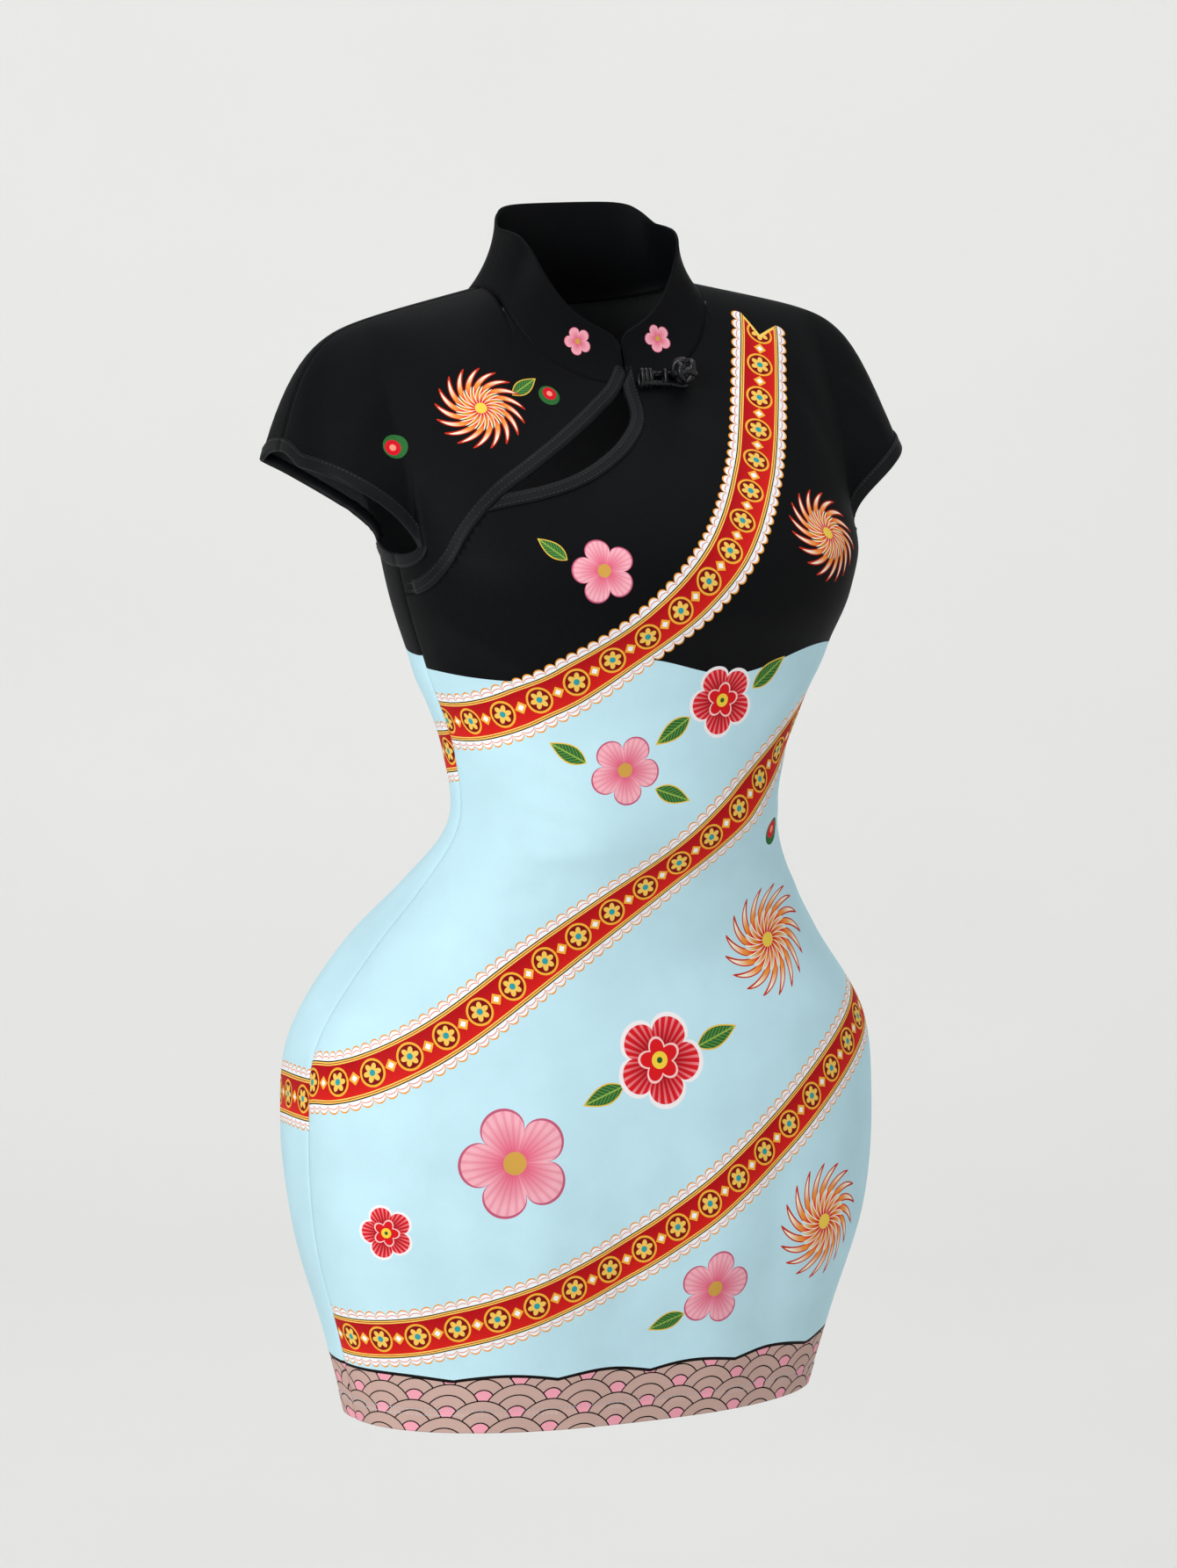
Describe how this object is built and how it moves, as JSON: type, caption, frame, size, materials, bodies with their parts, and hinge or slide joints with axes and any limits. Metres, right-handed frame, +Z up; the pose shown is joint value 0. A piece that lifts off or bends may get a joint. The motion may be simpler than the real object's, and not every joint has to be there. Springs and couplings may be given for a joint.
{
  "type": "qipao dress",
  "caption": "Short close-fitting qipao with a stand collar, cap sleeves, a slanted front closing over a drop-shaped opening, and a slit in one side seam.",
  "frame": {"origin": "middle of the neck at the level where the collar meets the shoulder seams, where the wearer's shoulders hold the dress", "axes": "+Z up the body, -Y out of the front, +X towards the wearer's left"},
  "size_m": [0.4416, 0.3038, 0.797],
  "materials": {
    "printed_front": "smooth stretch knit with a soft sheen, printed",
    "printed_lap": "smooth stretch knit with a soft sheen, printed",
    "printed_back": "smooth stretch knit with a soft sheen, printed",
    "collar_cloth": "smooth stretch knit, stiffened, printed",
    "binding": "plain folded knit strip, stitched",
    "frog": "tightly rolled cord of satin"
  },
  "bodies": {
    "root": {"front": "printed_front", "front_lap": "printed_lap", "back": "printed_back", "collar": "collar_cloth", "binding_lap": "binding", "binding_front": "binding", "armhole_band_right": "binding", "armhole_band_left": "binding", "frog_knob": "frog", "frog_loop": "frog"}
  },
  "joints": []
}
